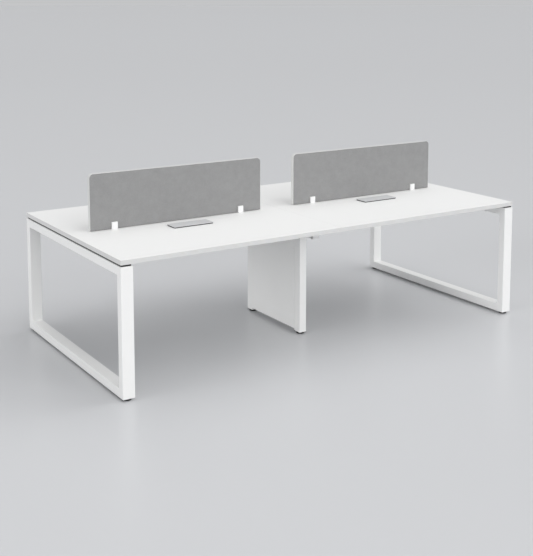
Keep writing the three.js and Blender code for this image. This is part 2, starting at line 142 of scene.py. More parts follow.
def add_node(tree: bpy.types.NodeTree, kind: str, sockets: dict[str | int, Any] | None = None,
             **settings: Any) -> bpy.types.Node:
    """Adds a node, with its settings, socket values and links.

    Args:
        tree: The node tree that gets the node.
        kind: The node's type name.
        sockets: Input sockets by name or place, each with a value or an output socket to link.
        **settings: Properties of the node itself.

    Returns:
        The new node.
    """
    node = tree.nodes.new(kind)
    for name, value in settings.items():
        setattr(node, name, value)
    for key, value in (sockets or {}).items():
        if isinstance(value, bpy.types.NodeSocket):
            tree.links.new(value, node.inputs[key])
        else:
            node.inputs[key].default_value = value
    return node


@dataclass(frozen=True, kw_only=True)
class Finish(ABC):
    """What all finishes have: a name, a material slot, two colours, a grain and a relief."""

    name: str
    slot: str
    colour: str
    fleck: str
    roughness: float
    grain_mm: float
    relief_mm: float
    grain_detail: float = 4.0
    grain_roughness: float = 0.55
    ior: float = 1.5

    def material(self) -> bpy.types.Material:
        """Makes the material on its first use.

        Returns:
            The one material that all pieces of this finish share.
        """
        found = bpy.data.materials.get(self.name)
        if found:
            return found
        made = bpy.data.materials.new(self.name)
        made.use_nodes = True
        tree = made.node_tree
        tree.nodes.clear()
        shader = self.shade(tree)
        add_node(tree, "ShaderNodeOutputMaterial", {"Surface": shader.outputs["BSDF"]})
        return made

    @abstractmethod
    def shade(self, tree: bpy.types.NodeTree) -> bpy.types.Node:
        """Adds the nodes of the surface.

        Args:
            tree: The material's node tree.

        Returns:
            The shader node.
        """


@dataclass(frozen=True, kw_only=True)
class HardFinish(Finish):
    """A hard surface with a fine grain in its colour, gloss and relief.

    With the grain, its colour goes over to the fleck and its roughness to the rougher value.
    """

    rougher: float
    metallic: float = 0.0

    def shade(self, tree: bpy.types.NodeTree) -> bpy.types.Node:
        """Adds one noise that drives the colour, the gloss and the relief.

        Args:
            tree: The material's node tree.

        Returns:
            The shader node.
        """
        place = add_node(tree, "ShaderNodeTexCoord").outputs["Object"]
        grain = add_node(tree, "ShaderNodeTexNoise", {
            "Vector": place, "Scale": 1 / (self.grain_mm * MM),
            "Detail": self.grain_detail, "Roughness": self.grain_roughness,
        })
        tint = add_node(tree, "ShaderNodeMix", {
            "Factor": grain.outputs["Fac"],
            COLOUR_A: linear_colour(self.colour), COLOUR_B: linear_colour(self.fleck),
        }, data_type="RGBA")
        gloss = add_node(tree, "ShaderNodeMapRange", {
            "Value": grain.outputs["Fac"], "To Min": self.roughness, "To Max": self.rougher,
        })
        relief = add_node(tree, "ShaderNodeBump", {
            "Height": grain.outputs["Fac"], "Strength": 1.0, "Distance": self.relief_mm * MM,
        })
        return add_node(tree, "ShaderNodeBsdfPrincipled", {
            "Base Color": tint.outputs[COLOUR_RESULT], "Roughness": gloss.outputs["Result"],
            "Normal": relief.outputs["Normal"], "IOR": self.ior, "Metallic": self.metallic,
        })


@dataclass(frozen=True, kw_only=True)
class HeatherCloth(Finish):
    """Plain-weave screen cloth of mixed light and dark yarns."""

    grain_detail: float = 3.0
    grain_roughness: float = 0.65
    thread_mm: float = 2.4
    thread_wander: float = 1.2
    thread_detail: float = 1.0
    # Colour scale in the weave's hollows (painted shade) and on its crowns (painted highlight)
    hollow_painted_shade: float = 0.9
    crown_painted_highlight: float = 1.06
    cloud_mm: float = 45.0
    cloud_detail: float = 2.0
    cloud_share: float = 0.45
    fleck_start: float = 0.3
    fleck_end: float = 0.7
    sheen: float = 0.25
    sheen_roughness: float = 0.5

    def shade(self, tree: bpy.types.NodeTree) -> bpy.types.Node:
        """Adds crossing threads, yarn flecks and soft clouding, and paints shade into the weave's hollows and
        a highlight onto its crowns.

        Args:
            tree: The material's node tree.

        Returns:
            The shader node.
        """
        place = add_node(tree, "ShaderNodeTexCoord").outputs["Object"]
        threads = [
            add_node(tree, "ShaderNodeTexWave", {
                "Vector": place, "Scale": WAVE_BAND_WIDTH / (self.thread_mm * MM),
                "Distortion": self.thread_wander, "Detail": self.thread_detail,
            }, wave_type="BANDS", bands_direction=direction)
            for direction in ("X", "Z")
        ]
        weave = add_node(tree, "ShaderNodeMath", {0: threads[0].outputs["Fac"], 1: threads[1].outputs["Fac"]},
                         operation="MULTIPLY")
        yarn = add_node(tree, "ShaderNodeTexNoise", {
            "Vector": place, "Scale": 1 / (self.grain_mm * MM),
            "Detail": self.grain_detail, "Roughness": self.grain_roughness,
        })
        clouds = add_node(tree, "ShaderNodeTexNoise", {
            "Vector": place, "Scale": 1 / (self.cloud_mm * MM), "Detail": self.cloud_detail,
        })
        mottle = add_node(tree, "ShaderNodeMix", {
            "Factor": self.cloud_share, "A": yarn.outputs["Fac"], "B": clouds.outputs["Fac"],
        }, data_type="FLOAT")
        heather = add_node(tree, "ShaderNodeMapRange", {
            "Value": mottle.outputs["Result"], "From Min": self.fleck_start, "From Max": self.fleck_end,
        })
        tint = add_node(tree, "ShaderNodeMix", {
            "Factor": heather.outputs["Result"],
            COLOUR_A: linear_colour(self.colour), COLOUR_B: linear_colour(self.fleck),
        }, data_type="RGBA")
        # Painted shade in the weave's hollows and a painted highlight on its crowns, scaled into the cloth's
        # colour
        painted_weave_shade = add_node(tree, "ShaderNodeMapRange", {
            "Value": weave.outputs["Value"], "To Min": self.hollow_painted_shade, "To Max": self.crown_painted_highlight,
        })
        painted_weave_colour = add_node(tree, "ShaderNodeVectorMath", {
            0: tint.outputs[COLOUR_RESULT], "Scale": painted_weave_shade.outputs["Result"],
        }, operation="SCALE")
        relief = add_node(tree, "ShaderNodeBump", {
            "Height": weave.outputs["Value"], "Strength": 1.0, "Distance": self.relief_mm * MM,
        })
        return add_node(tree, "ShaderNodeBsdfPrincipled", {
            "Base Color": painted_weave_colour.outputs["Vector"], "Roughness": self.roughness,
            "Normal": relief.outputs["Normal"], "IOR": self.ior,
            "Sheen Weight": self.sheen, "Sheen Roughness": self.sheen_roughness,
        })


# Melamine-faced board: pressed paper face, so an even white with a fine pearl texture.
MELAMINE = HardFinish(
    name="white_melamine", slot="board_laminate", colour="#F1F1F0", fleck="#EBEBEA",
    roughness=0.42, rougher=0.52, grain_mm=3.0, relief_mm=0.02,
)
# Extruded ABS strip, for the edges of boards and screens: a little glossier than a board's face, and greyer,
# which is partly the strip's own tone and partly painted shade on the boards' shaded edges.
EDGE_STRIP_GREY_AND_PAINTED_SHADE = HardFinish(
    name="abs_edge_strip_grey_painted_shade", slot="edge_strip", colour="#D8D8D7", fleck="#D2D2D1",
    roughness=0.36, rougher=0.46, grain_mm=2.0, relief_mm=0.02,
)
# Polyester powder coat: a low orange-peel relief, drawn coarser than its real 1 mm so that it shows.
POWDER_COAT = HardFinish(
    name="white_powder_coat", slot="white_steel", colour="#F2F2F1", fleck="#EDEDEC",
    roughness=0.32, rougher=0.42, grain_mm=2.5, relief_mm=0.03,
)
# Moulded ABS in pale grey, for the crossbar's end caps: an even colour with a dull grain.
CAP_PLASTIC = HardFinish(
    name="pale_grey_moulding", slot="cap_plastic", colour="#E4E4E4", fleck="#DDDDDD",
    roughness=0.48, rougher=0.6, grain_mm=1.2, relief_mm=0.03,
)
# Moulded ABS in black, for spacer strips and post plugs: a spark-eroded mould leaves a dull grain.
BLACK_PLASTIC = HardFinish(
    name="black_moulding", slot="black_plastic", colour="#141414", fleck="#1D1D1D",
    roughness=0.5, rougher=0.68, grain_mm=1.2, relief_mm=0.04,
)
# Moulded nylon in black, for the feet: a coarser grain that is scuffed a shade lighter.
FOOT_PLASTIC = HardFinish(
    name="black_foot_moulding", slot="foot_plastic", colour="#151515", fleck="#202020",
    roughness=0.48, rougher=0.7, grain_mm=1.6, relief_mm=0.04,
)
# Bright zinc plate: metal with a faint cloudy passivation.
ZINC = HardFinish(
    name="zinc_plate", slot="zinc_bush", colour="#A9ACAF", fleck="#989B9F",
    roughness=0.3, rougher=0.45, grain_mm=4.0, relief_mm=0.01, metallic=1.0,
)
# Moulded ABS tub: dark grey with a dull grain.
TUB_PLASTIC = HardFinish(
    name="dark_grey_moulding", slot="tub_plastic", colour="#2B2C2D", fleck="#353637",
    roughness=0.52, rougher=0.68, grain_mm=1.4, relief_mm=0.03,
)
# Light grey powder coat on an aluminium plate: satin, with a low relief.
LID_COAT = HardFinish(
    name="light_grey_powder_coat", slot="lid_grey", colour="#CCCDCE", fleck="#C6C7C8",
    roughness=0.34, rougher=0.44, grain_mm=2.0, relief_mm=0.02,
)
# Powder-coated die casting, for the saddle clips: the desk's brightest white.
CLIP_COAT = HardFinish(
    name="white_clip_coat", slot="clip_white", colour="#F3F3F3", fleck="#EDEDED",
    roughness=0.32, rougher=0.42, grain_mm=1.5, relief_mm=0.02,
)
# Polyester plain weave; threads of under 1 mm are drawn at 2.4 mm so that they show. Its colour is darkened
# in the weave's hollows as painted shade and lightened on the crowns as a painted highlight.
SCREEN_CLOTH = HeatherCloth(
    name="grey_screen_cloth", slot="screen_fabric", colour="#909090", fleck="#9C9C9C",
    roughness=0.92, grain_mm=5.0, relief_mm=0.35, ior=1.45,
)

FINISHES = (MELAMINE, EDGE_STRIP_GREY_AND_PAINTED_SHADE, POWDER_COAT, CAP_PLASTIC, BLACK_PLASTIC, FOOT_PLASTIC, ZINC, TUB_PLASTIC,
            LID_COAT, CLIP_COAT, SCREEN_CLOTH)


# Mesh helpers

def block_mesh(low: Vector, high: Vector) -> bmesh.types.BMesh:
    """Starts a bmesh as a box.

    Args:
        low: The box's lowest corner.
        high: The box's highest corner.

    Returns:
        The new bmesh.
    """
    bm = bmesh.new()
    bmesh.ops.create_cube(bm, size=1.0)
    bmesh.ops.scale(bm, vec=high - low, verts=bm.verts)
    bmesh.ops.translate(bm, vec=(low + high) / 2, verts=bm.verts)
    bm.normal_update()
    return bm


def round_edges(bm: bmesh.types.BMesh, radius: float, segments: int, test: EdgeTest) -> None:
    """Rounds the edges that pass a test.

    Args:
        bm: The mesh to change.
        radius: Radius of the rounding, in metres.
        segments: Facets across the rounding.
        test: Says which edges are rounded.
    """
    bm.normal_update()
    edges = [edge for edge in bm.edges if test(edge)]
    bmesh.ops.bevel(bm, geom=edges, offset=radius, offset_type="OFFSET", affect="EDGES",
                    segments=segments, profile=0.5, material=-1)
    bm.normal_update()


def runs_along(axis: Axis) -> EdgeTest:
    """A test for edges that run along an axis.

    Args:
        axis: The axis that the edges are parallel to.

    Returns:
        The test.
    """
    def test(edge: bmesh.types.BMEdge) -> bool:
        """True where the edge is parallel to the axis."""
        along = (edge.verts[1].co - edge.verts[0].co).normalized()
        return abs(along[axis.value]) > FLAT
    return test


def rims_of(axis: Axis, sign: int = 0) -> EdgeTest:
    """A test for edges between the flat faces across an axis and their neighbours.

    Args:
        axis: The axis that the flat faces lie across.
        sign: 1 or -1 for the faces of one end, or 0 for both ends.

    Returns:
        The test.
    """
    def faces_out(face: bmesh.types.BMFace) -> bool:
        """True where the face is one of the flat end faces."""
        across = face.normal[axis.value]
        return abs(across) > FLAT and (sign == 0 or across * sign > 0)

    def test(edge: bmesh.types.BMEdge) -> bool:
        """True where just one face of the edge is an end face."""
        return [faces_out(face) for face in edge.link_faces].count(True) == 1
    return test


def outer_rims(axis: Axis, middle: Vector) -> EdgeTest:
    """A test for the rims of a ring's outer wall.

    Args:
        axis: The axis that the ring's opening looks along.
        middle: The ring's middle.

    Returns:
        The test.
    """
    on_rim = rims_of(axis)

    def test(edge: bmesh.types.BMEdge) -> bool:
        """True for a rim whose wall faces away from the ring's middle.

        Args:
            edge: The edge to test.

        Returns:
            True or false.
        """
        if not on_rim(edge):
            return False
        wall = min(edge.link_faces, key=lambda face: abs(face.normal[axis.value]))
        return wall.normal.dot(edge.verts[0].co - middle) > 0
    return test


def open_window(bm: bmesh.types.BMesh, axis: Axis, border: float) -> None:
    """Cuts a window through a block, with a border of even width round it.

    Args:
        bm: The mesh to change.
        axis: The axis that the window looks along.
        border: Width of the border, in metres.
    """
    ends = [face for face in bm.faces if abs(face.normal[axis.value]) > FLAT]
    bmesh.ops.inset_region(bm, faces=ends, thickness=border, use_even_offset=True)
    bmesh.ops.delete(bm, geom=ends, context="FACES")
    rims = [edge for edge in bm.edges if edge.is_boundary]
    bmesh.ops.bridge_loops(bm, edges=rims)
    bmesh.ops.recalc_face_normals(bm, faces=bm.faces)


def slice_at(bm: bmesh.types.BMesh, axis: Axis, places: Iterable[float]) -> None:
    """Cuts all faces along planes across an axis, and keeps both sides.

    Args:
        bm: The mesh to change.
        axis: The axis that the planes lie across.
        places: Where the planes lie on the axis, in metres.
    """
    for place in places:
        everything = [*bm.verts, *bm.edges, *bm.faces]
        bmesh.ops.bisect_plane(bm, geom=everything, plane_co=axis.unit * place, plane_no=axis.unit)
    bm.normal_update()


def add_rod(bm: bmesh.types.BMesh, centre: Vector, axis: Axis, radius: float, length: float,
            facets: int) -> None:
    """Adds a closed round or hexagonal rod.

    Args:
        bm: The mesh that gets the rod.
        centre: The rod's middle.
        axis: The axis that the rod runs along.
        radius: Radius over the facets' corners.
        length: Length of the rod.
        facets: Number of sides.
    """
    turned = Axis.Z.unit.rotation_difference(axis.unit).to_matrix().to_4x4()
    bmesh.ops.create_cone(bm, cap_ends=True, segments=facets, radius1=radius, radius2=radius,
                          depth=length, matrix=Matrix.Translation(centre) @ turned)


def add_part(bm: bmesh.types.BMesh, part: bmesh.types.BMesh) -> None:
    """Moves the faces of one bmesh into another.

    Args:
        bm: The mesh that gets the faces.
        part: The mesh that gives them. It is freed.
    """
    carrier = bpy.data.meshes.new("carrier")
    part.to_mesh(carrier)
    part.free()
    bm.from_mesh(carrier)
    bpy.data.meshes.remove(carrier)


def union_box(nodes: Iterable[str]) -> tuple[Vector, Vector]:
    """The box round several CAD nodes.

    Args:
        nodes: Names of the nodes.

    Returns:
        The box's lowest and highest corners.
    """
    boxes = [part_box(node) for node in nodes]
    low = Vector([min(box[0][axis.value] for box in boxes) for axis in Axis])
    high = Vector([max(box[1][axis.value] for box in boxes) for axis in Axis])
    return low, high


def underside_middle(low: Vector, high: Vector) -> Vector:
    """The middle of a box's underside."""
    return Vector(((low.x + high.x) / 2, (low.y + high.y) / 2, low.z))


def make_piece(bm: bmesh.types.BMesh, name: str, finish: Finish, body: str,
               stands_for: Iterable[str] = ()) -> None:
    """Turns a bmesh into a finished piece that rides on a body.

    Args:
        bm: The shape, in the shared frame. It is freed.
        name: Name of the piece.
        finish: Finish of the piece.
        body: CAD body that the piece moves with.
        stands_for: CAD nodes that the piece replaces.
    """
    mesh = bpy.data.meshes.new(name)
    bm.to_mesh(mesh)
    bm.free()
    mesh.shade_smooth()
    mesh.set_sharp_from_angle(angle=SMOOTH_LIMIT)
    made = bpy.data.objects.new(name, mesh)
    bpy.context.scene.collection.objects.link(made)
    mesh.materials.append(finish.material())
    evened = made.modifiers.new("even_flats", "WEIGHTED_NORMAL")
    evened.keep_sharp = True
    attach(made, body)
    if stands_for:
        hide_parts(*stands_for)
    LOG.info("%s rides on %s", name, body)


# Sub-assemblies

@dataclass
class TableTop:
    """One bay's board with the strip glued round its edge, thinner where the boards meet."""

    side: Side
    corner_radius: float = 6 * MM
    strip_thickness: float = 2 * MM
    seam_strip_thickness: float = 0.4 * MM
    strip_edge_radius: float = 0.8 * MM
    cut_length: float = 249 * MM
    cut_depth: float = 89 * MM
    corner_segments: int = 8

    def build(self) -> None:
        """Makes the board and its edge strip."""
        self.build_board()
        self.build_strip()

    def cut_centres(self) -> list[Vector]:
        """Middles of the board's two openings, under the cable lids."""
        boxes = [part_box(f"cable_lid_{self.side}_{end}") for end in End]
        return [(low + high) / 2 for low, high in boxes]

    def slab(self, node: str, radius: float) -> bmesh.types.BMesh:
        """Starts a slab whose two corners at the desk's end are rounded.

        Args:
            node: CAD node that gives the slab's box.
            radius: Radius of the corners.

        Returns:
            The slab, with square corners where the boards meet.
        """
        low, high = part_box(node)
        middle = (low + high) / 2
        bm = block_mesh(low, high)

        def at_end(edge: bmesh.types.BMEdge) -> bool:
            """True for the upright edges at the desk's end."""
            return runs_along(Axis.Z)(edge) and abs(edge.verts[0].co.x) > abs(middle.x)

        round_edges(bm, radius, self.corner_segments, at_end)
        return bm

    def thin_seam(self, bm: bmesh.types.BMesh) -> None:
        """Moves the line between board and strip closer to the other board.

        Args:
            bm: The mesh of the board or of the strip.
        """
        low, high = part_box(f"top_board_{self.side}")
        line = min(abs(low.x), abs(high.x))
        at_line = [vert for vert in bm.verts if abs(abs(vert.co.x) - line) < TOLERANCE]
        inward = self.strip_thickness - self.seam_strip_thickness
        bmesh.ops.translate(bm, vec=Axis.X.unit * -self.side.outward * inward, verts=at_line)

    def build_board(self) -> None:
        """Makes the board, with an opening for each cable tub."""
        node = f"top_board_{self.side}"
        bm = self.slab(node, self.corner_radius - self.strip_thickness)
        half = Vector((self.cut_length / 2, self.cut_depth / 2, 0))
        centres = self.cut_centres()
        slice_at(bm, Axis.X, (centres[0].x - half.x, centres[0].x + half.x))
        slice_at(bm, Axis.Y, [centre.y + way * half.y for centre in centres for way in (-1, 1)])
        for centre in centres:
            lost = [
                face for face in bm.faces
                if abs(face.normal.z) > FLAT
                and abs(face.calc_center_median().x - centre.x) < half.x
                and abs(face.calc_center_median().y - centre.y) < half.y
            ]
            bmesh.ops.delete(bm, geom=lost, context="FACES")
            bmesh.ops.bridge_loops(bm, edges=[edge for edge in bm.edges if edge.is_boundary])
        bmesh.ops.recalc_face_normals(bm, faces=bm.faces)
        self.thin_seam(bm)
        make_piece(bm, f"board_{self.side}", MELAMINE, DESK_BODY, [node])

    def build_strip(self) -> None:
        """Makes the edge strip as a ring, rounded outside but sharp where the boards meet."""
        node = f"edge_band_{self.side}"
        low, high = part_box(node)
        bm = self.slab(node, self.corner_radius)
        open_window(bm, Axis.Z, self.strip_thickness)
        self.thin_seam(bm)
        on_outside = outer_rims(Axis.Z, (low + high) / 2)

        def shows(edge: bmesh.types.BMEdge) -> bool:
            """True for the outer rims away from the other board."""
            return on_outside(edge) and any(abs(v.co.x) > self.corner_radius for v in edge.verts)

        round_edges(bm, self.strip_edge_radius, EDGE_SEGMENTS, shows)
        # The strip's grey is partly painted shade on the board's edges.
        make_piece(bm, f"edge_strip_{self.side}", EDGE_STRIP_GREY_AND_PAINTED_SHADE, DESK_BODY, [node])


@dataclass
class EndFrame:
    """Loop of rectangular tube, welded at its corners and ground flush."""

    side: Side
    tube_depth: float = 50 * MM
    tube_radius: float = 4 * MM
    weld_radius: float = 3 * MM

    def build(self) -> None:
        """Makes the welded loop in place of its four tubes."""
        nodes = [f"{self.side}_frame_{tube}" for tube in FRAME_TUBES]
        low, high = union_box(nodes)
        bm = block_mesh(low, high)
        open_window(bm, Axis.X, self.tube_depth)
        middle = (low + high) / 2
        reach = (high - low) / 2

        def at_inside(edge: bmesh.types.BMEdge) -> bool:
            """True for the edges at the loop's inner corners."""
            within = abs(edge.verts[0].co.y - middle.y) < reach.y - self.tube_depth / 2
            return runs_along(Axis.X)(edge) and within

        def at_outside(edge: bmesh.types.BMEdge) -> bool:
            """True for the rims of both sides and the edges at the loop's outer corners.

            Args:
                edge: The edge to test.

            Returns:
                True or false.
            """
            offset = edge.verts[0].co - middle
            corner = abs(offset.y) > reach.y - TOLERANCE and abs(offset.z) > reach.z - TOLERANCE
            return rims_of(Axis.X)(edge) or (corner and runs_along(Axis.X)(edge))

        round_edges(bm, self.weld_radius, EDGE_SEGMENTS, at_inside)
        round_edges(bm, self.tube_radius, TUBE_SEGMENTS, at_outside)
        make_piece(bm, f"{self.side}_end_frame", POWDER_COAT, DESK_BODY, nodes)


@dataclass
class CentreLeg:
    """Two posts under a crossbar, with a flush sheet cover on each side."""

    tube_radius: float = 4 * MM
    sheet: float = 1.2 * MM
    bend_radius: float = 2 * MM
    cover_corner_radius: float = 3 * MM
    cap_edge_radius: float = 0.8 * MM
    cap_edge_segments: int = 2

    def build(self) -> None:
        """Makes the posts, crossbar, stretcher, caps and covers."""
        for end in End:
            self.build_tube(f"centre_{end}_post", f"leg_post_{end}", Axis.Z)
            self.build_cap(end)
        self.build_tube("centre_crossbar", "leg_crossbar", Axis.Y)
        self.build_tube("centre_stretcher", "leg_stretcher", Axis.Y)
        for side in Side:
            self.build_cover(side)

    def build_tube(self, node: str, name: str, axis: Axis) -> None:
        """Makes a tube with rounded long edges in place of a CAD node.

        Args:
            node: The CAD node.
            name: Name of the piece.
            axis: The axis that the tube runs along.
        """
        bm = block_mesh(*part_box(node))
        round_edges(bm, self.tube_radius, TUBE_SEGMENTS, runs_along(axis))
        make_piece(bm, name, POWDER_COAT, DESK_BODY, [node])

    def build_cap(self, end: End) -> None:
        """Makes the moulded cap in one end of the crossbar.

        Args:
            end: The crossbar's end.
        """
        node = f"crossbar_cap_{end}"
        bm = block_mesh(*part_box(node))
        round_edges(bm, self.tube_radius, TUBE_SEGMENTS, runs_along(Axis.Y))
        round_edges(bm, self.cap_edge_radius, self.cap_edge_segments, rims_of(Axis.Y))
        make_piece(bm, f"leg_cap_{end}", CAP_PLASTIC, DESK_BODY, [node])

    def build_cover(self, side: Side) -> None:
        """Makes one side's cover: a sheet tray with bent edges, open towards the leg's middle.

        Args:
            side: The leg's side.
        """
        node = f"centre_cover_{side}"
        bm = block_mesh(*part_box(node))
        round_edges(bm, self.cover_corner_radius, EDGE_SEGMENTS, runs_along(Axis.X))
        round_edges(bm, self.bend_radius, EDGE_SEGMENTS, rims_of(Axis.X, side.outward))
        back = [face for face in bm.faces if face.normal.x * side.outward < -FLAT]
        bmesh.ops.delete(bm, geom=back, context="FACES")
        bmesh.ops.recalc_face_normals(bm, faces=bm.faces)
        bmesh.ops.solidify(bm, geom=bm.faces, thickness=self.sheet)
        make_piece(bm, f"leg_cover_{side}", POWDER_COAT, DESK_BODY, [node])


@dataclass
class LevellingFoot:
    """Moulded pad on a threaded stud, which screws up into the frame."""

    name: str
    pad_edge: float = 1.5 * MM
    pad_height: float = 9.7 * MM
    stud_radius: float = 4 * MM
    stud_root: float = 4 * MM
    thread_pitch: float = 1.25 * MM
    thread_depth: float = 0.6 * MM
    facets: int = 40

    def build(self) -> None:
        """Makes the pad and the stud that is moulded into it."""
        node = f"foot_{self.name}"
        low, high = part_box(node)
        pad = self.pad_profile(radius=(high.x - low.x) / 2)
        make_piece(self.turned(pad), f"level_foot_{self.name}", FOOT_PLASTIC, node, [node])
        stud = self.stud_profile(tip=high.z - low.z)
        make_piece(self.turned(stud), f"foot_stud_{self.name}", ZINC, node)

    def pad_profile(self, radius: float) -> Profile:
        """Half outline of the pad, with chamfered rims.

        Args:
            radius: Radius of the pad.

        Returns:
            Radius and height of each point, from the axis round to the axis.
        """
        rim = radius - self.pad_edge
        return [
            (0.0, 0.0), (rim, 0.0), (radius, self.pad_edge),
            (radius, self.pad_height - self.pad_edge), (rim, self.pad_height), (0.0, self.pad_height),
        ]

    def stud_profile(self, tip: float) -> Profile:
        """Half outline of the stud, with a groove for each turn of its thread.

        Args:
            tip: Height of the stud's tip over the floor.

        Returns:
            Radius and height of each point, from its root in the pad to its tip.
        """
        root = self.pad_height - self.stud_root
        points = [(0.0, root), (self.stud_radius, root), (self.stud_radius, self.pad_height)]
        turns = math.floor((tip - self.pad_height) / self.thread_pitch)
        for turn in range(turns):
            start = self.pad_height + turn * self.thread_pitch
            points.append((self.stud_radius - self.thread_depth, start + self.thread_pitch / 2))
            points.append((self.stud_radius, start + self.thread_pitch))
        points.append((0.0, tip))
        return points

    def turned(self, profile: Profile) -> bmesh.types.BMesh:
        """Spins a profile about the foot's upright axis.

        Args:
            profile: Radius and height of each point, from the axis round to the axis.

        Returns:
            The closed turned shape.
        """
        foot = underside_middle(*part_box(f"foot_{self.name}"))
        bm = bmesh.new()
        verts = [bm.verts.new(foot + Vector((radius, 0, height))) for radius, height in profile]
        edges = [bm.edges.new(pair) for pair in zip(verts, verts[1:])]
        bmesh.ops.spin(bm, geom=[*verts, *edges], cent=foot, axis=Axis.Z.unit, angle=math.tau,
                       steps=self.facets, use_merge=True, use_duplicate=False)
        bmesh.ops.remove_doubles(bm, verts=bm.verts, dist=MERGE_DISTANCE)
        bmesh.ops.recalc_face_normals(bm, faces=bm.faces)
        return bm


@dataclass
class BeamBolts:
    """Hexagon bolts through the plates at both ends of one beam."""

    side: Side
    end: End
    plate: float = 4 * MM
    bolt_spread: float = 25 * MM
    washer_radius: float = 7 * MM
    washer_thickness: float = 1.2 * MM
    head_radius: float = 5.6 * MM
    head_height: float = 4 * MM
    head_facets: int = 6

    def build(self) -> None:
        """Makes the four bolt heads and their washers."""
        low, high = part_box(f"beam_{self.side}_{self.end}")
        middle = (low + high) / 2
        bm = bmesh.new()
        for face, inward in ((low.x + self.plate, 1), (high.x - self.plate, -1)):
            for way in (-1, 1):
                seat = Vector((face, middle.y + way * self.bolt_spread, middle.z))
                self.add_bolt(bm, seat, inward)
        make_piece(bm, f"beam_bolts_{self.side}_{self.end}", ZINC, DESK_BODY)

    def add_bolt(self, bm: bmesh.types.BMesh, seat: Vector, inward: int) -> None:
        """Adds a washer and a bolt head on a plate.

        Args:
            bm: The mesh that gets the bolt.
            seat: Point on the plate under the bolt's middle.
            inward: Way that the head points along X.
        """
        step = Axis.X.unit * inward
        washer = seat + step * self.washer_thickness / 2
        add_rod(bm, washer, Axis.X, self.washer_radius, self.washer_thickness, ROD_FACETS)
        head = seat + step * (self.washer_thickness + self.head_height / 2)
        add_rod(bm, head, Axis.X, self.head_radius, self.head_height, self.head_facets)


@dataclass
class CableLid:
    """Hinged plate over a cable tub."""

    side: Side
    end: End
    thickness: float = 2.5 * MM
    corner_radius: float = 5 * MM
    corner_segments: int = 8
    edge_radius: float = 0.8 * MM
    hinge_setback: float = 2 * MM
    barrel_radius: float = 2.3 * MM
    barrel_length: float = 60 * MM
    web: float = 2.4 * MM
    pin_radius: float = 1.1 * MM
    pin_length: float = 5 * MM
    pin_facets: int = 16

    def build(self) -> None:
        """Makes the plate with its hinge barrel and pins."""
        node = f"cable_lid_{self.side}_{self.end}"
        low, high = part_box(node)
        plate_low = Vector((low.x, low.y, high.z - self.thickness))
        plate_high = high.copy()
        hinge = Vector(((low.x + high.x) / 2, 0, low.z + self.barrel_radius))
        if self.end is End.FRONT:
            hinge.y = high.y - self.barrel_radius
            plate_high.y = hinge.y + self.hinge_setback
        else:
            hinge.y = low.y + self.barrel_radius
            plate_low.y = hinge.y - self.hinge_setback
        bm = block_mesh(plate_low, plate_high)
        round_edges(bm, self.corner_radius, self.corner_segments, runs_along(Axis.Z))
        round_edges(bm, self.edge_radius, EDGE_SEGMENTS, rims_of(Axis.Z))
        add_rod(bm, hinge, Axis.X, self.barrel_radius, self.barrel_length, ROD_FACETS)
        pins_length = self.barrel_length + 2 * self.pin_length
        add_rod(bm, hinge, Axis.X, self.pin_radius, pins_length, self.pin_facets)
        half = Vector((self.barrel_length / 2, self.web / 2, 0))
        top = Vector((0, 0, plate_low.z + self.thickness / 2 - hinge.z))
        add_part(bm, block_mesh(hinge - half, hinge + half + top))
        make_piece(bm, f"lid_{self.side}_{self.end}", LID_COAT, node, [node])


@dataclass
class Screen:
    """Cloth-faced board with a pale strip up its ends and over its top."""

    side: Side
    corner_radius: float = 26 * MM
    corner_segments: int = 12
    strip_thickness: float = 1.5 * MM
    edge_radius: float = 1 * MM

    def build(self) -> None:
        """Makes the cloth panel and its edge strip."""
        self.build_panel()
        self.build_strip()

    def build_panel(self) -> None:
        """Makes the cloth-faced board inside the strip."""
        bm = self.slab(inset=self.strip_thickness)
        round_edges(bm, self.edge_radius, EDGE_SEGMENTS, rims_of(Axis.Y))
        make_piece(bm, f"cloth_screen_{self.side}", SCREEN_CLOTH, DESK_BODY, [f"screen_{self.side}"])

    def build_strip(self) -> None:
        """Makes the strip, bent over the board and open at its foot."""
        foot = underside_middle(*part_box(f"screen_{self.side}"))
        bm = self.slab(inset=0.0)
        lost = [face for face in bm.faces if abs(face.normal.y) > FLAT or face.normal.z < -FLAT]
        bmesh.ops.delete(bm, geom=lost, context="FACES")
        bmesh.ops.solidify(bm, geom=bm.faces, thickness=self.strip_thickness)
        round_edges(bm, self.edge_radius, EDGE_SEGMENTS, outer_rims(Axis.Y, foot))
        make_piece(bm, f"screen_strip_{self.side}", EDGE_STRIP_GREY_AND_PAINTED_SHADE, DESK_BODY)

    def slab(self, inset: float) -> bmesh.types.BMesh:
        """Starts an upright slab with its two top corners rounded.

        Args:
            inset: How far its ends and top lie inside the screen's own.

        Returns:
            The slab, as thick as the screen.
        """
        low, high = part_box(f"screen_{self.side}")
        bm = block_mesh(low + Vector((inset, 0, 0)), high - Vector((inset, 0, inset)))

        def at_top(edge: bmesh.types.BMEdge) -> bool:
            """True for the edges at the two top corners."""
            return runs_along(Axis.Y)(edge) and edge.verts[0].co.z > (low.z + high.z) / 2

        round_edges(bm, self.corner_radius - inset, self.corner_segments, at_top)
        return bm


